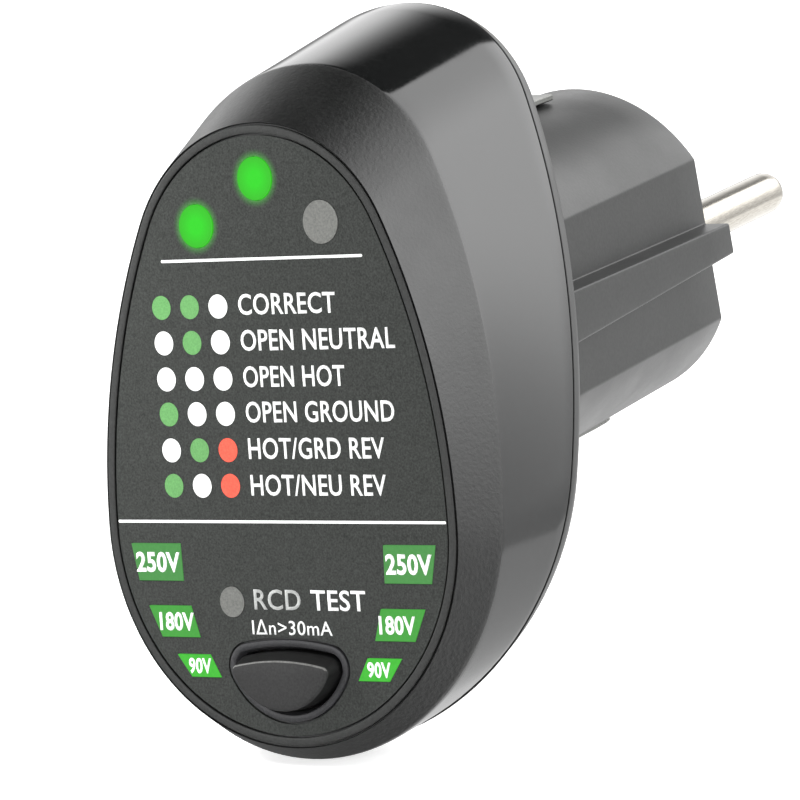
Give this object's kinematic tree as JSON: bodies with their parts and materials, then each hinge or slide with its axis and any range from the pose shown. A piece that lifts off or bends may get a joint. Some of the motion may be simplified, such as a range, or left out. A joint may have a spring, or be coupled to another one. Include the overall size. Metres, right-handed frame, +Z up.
{
  "type": "outlet tester plug",
  "caption": "Socket tester with an egg-shaped indicator head with lamp windows and a test button, on a round earthed two-pin mains plug.",
  "frame": {"origin": "centre of the plug face that meets the bottom of the socket, on the plug's axis", "axes": "+Y out of the plug along its pins, +Z up towards the top of the face, +X to the right seen from the front"},
  "size_m": [0.0562, 0.0929, 0.0735],
  "materials": {
    "shell_black": "fine texture and gloss",
    "label_film": "fine grain film",
    "insert_black": "moulded",
    "nickel": "satin nickel",
    "contact_strip": "plated spring strip",
    "brass_strip": "bare",
    "board_green": "solder mask",
    "button_black": "fine texture",
    "switch_black": "moulded",
    "capacitor_red": "dipped",
    "chip_black": "moulded",
    "capacitor_sleeve": "shrink sleeve",
    "resistor_body": "lacquered",
    "lead_brown": "insulated",
    "lead_blue": "insulated",
    "lead_green": "insulated",
    "screw_steel": "zinc plated",
    "led_clear": "clear lens",
    "window_lit_green": "translucent, lit",
    "window_grey": "translucent, unlit",
    "window_scale_green": "translucent, lit"
  },
  "bodies": {
    "housing": {"front_shell": "shell_black", "face_label": "label_film", "rear_cover": "shell_black", "plug_shell": "shell_black", "pin_carrier": "insert_black", "line_pin": "nickel", "neutral_pin": "nickel", "earth_clip_top": "contact_strip", "earth_clip_bottom": "contact_strip", "earth_bridge": "brass_strip", "light_baffle": "insert_black", "circuit_board": "board_green", "test_switch": "switch_black", "switch_dome": "contact_strip", "film_capacitor": "capacitor_red", "microcontroller": "chip_black", "bridge_rectifier": "chip_black", "trip_triac": "chip_black", "smoothing_capacitor": "capacitor_sleeve", "resistors": "resistor_body", "line_lead": "lead_brown", "neutral_lead": "lead_blue", "earth_lead": "lead_green", "case_screws": "screw_steel", "board_screws": "screw_steel", "voltage_leds": "led_clear", "lamp_window_left": "window_lit_green", "lamp_window_top": "window_lit_green", "lamp_window_right": "window_grey", "lamp_window_trip": "window_grey", "led_left": "led_clear", "led_top": "led_clear", "led_right": "led_clear", "led_trip": "led_clear", "voltage_window_250_left": "window_scale_green", "voltage_window_250_right": "window_scale_green", "voltage_window_180_left": "window_scale_green", "voltage_window_180_right": "window_scale_green", "voltage_window_90_left": "window_scale_green", "voltage_window_90_right": "window_scale_green"},
    "button": {"rcd_button": "button_black", "switch_plunger": "switch_black"}
  },
  "joints": [
    {"name": "button_press", "type": "slide", "parent": "housing", "child": "button", "axis": [0, 0.9829, -0.184], "range_m": [0, 0.0008], "stiffness_N_per_m": 1500, "springref_m": -0.0003, "deforming": ["switch_dome"]}
  ]
}
